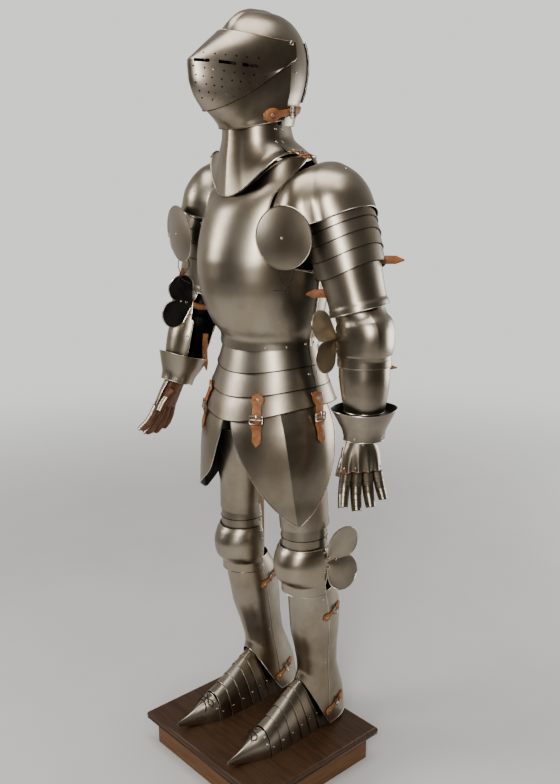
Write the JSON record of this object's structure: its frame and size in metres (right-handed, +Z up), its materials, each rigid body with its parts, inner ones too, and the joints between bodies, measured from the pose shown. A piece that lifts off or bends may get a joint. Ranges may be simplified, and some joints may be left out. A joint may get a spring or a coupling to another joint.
{
  "type": "suit of plate armour on a wooden stand and plinth",
  "caption": "Hollow full suit of plate armour with hinged visor, gauntlets and pointed sabatons, standing on a wooden stand inside it and a wooden plinth.",
  "frame": {"origin": "middle of the plinth's underside", "axes": "+Z up, the suit faces -Y, the wearer's left is +X"},
  "size_m": [0.7314, 0.439, 1.966],
  "materials": {
    "steel": "brushed and darkened with age",
    "strap_leather": "smooth orange-brown strap leather",
    "glove_leather": "matt dark brown glove leather",
    "lace": "dark waxed lace",
    "stained_wood": "dark stained and waxed",
    "stand_wood": "plain planed softwood"
  },
  "bodies": {
    "armour": {"backplate": "steel", "bevor": "steel", "breastplate": "steel", "couter_left": "steel", "couter_right": "steel", "cuisse_left": "steel", "cuisse_right": "steel", "culet": "steel", "fauld_lame_1": "steel", "fauld_lame_2": "steel", "fauld_lame_3": "steel", "gauntlet_cuff_left": "steel", "gauntlet_cuff_right": "steel", "gauntlet_hand_left": "steel", "gauntlet_hand_right": "steel", "glove_left": "glove_leather", "glove_right": "glove_leather", "gorget_back": "steel", "gorget_front": "steel", "greave_back_left": "steel", "greave_back_right": "steel", "greave_front_left": "steel", "greave_front_right": "steel", "helmet_strap": "strap_leather", "knee_lames_left": "steel", "knee_lames_right": "steel", "nape_plate": "steel", "pauldron_lames_left": "steel", "pauldron_lames_right": "steel", "pauldron_left": "steel", "pauldron_right": "steel", "plinth_box": "stained_wood", "plinth_slab": "stained_wood", "poleyn_left": "steel", "poleyn_right": "steel", "rerebrace_left": "steel", "rerebrace_right": "steel", "rondel_lace_left": "lace", "rondel_lace_right": "lace", "rondel_left": "steel", "rondel_right": "steel", "sabaton_left": "steel", "sabaton_right": "steel", "shoulder_strap_left": "strap_leather", "shoulder_strap_right": "strap_leather", "skull": "steel", "stand_frame": "stand_wood", "tasset_left": "steel", "tasset_right": "steel", "tasset_strap_front_left": "strap_leather", "tasset_strap_front_right": "strap_leather", "tasset_strap_side_left": "strap_leather", "tasset_strap_side_right": "strap_leather", "toe_cap_left": "steel", "toe_cap_right": "steel", "toe_lace_left": "lace", "toe_lace_right": "lace", "vambrace_left": "steel", "vambrace_right": "steel"},
    "visor": {"visor": "steel"}
  },
  "joints": [
    {"name": "visor_hinge", "type": "hinge", "parent": "armour", "child": "visor", "pos_m": [0, 0.01, 1.89], "axis": [-1, 0, 0], "range_deg": [0, 55]}
  ]
}
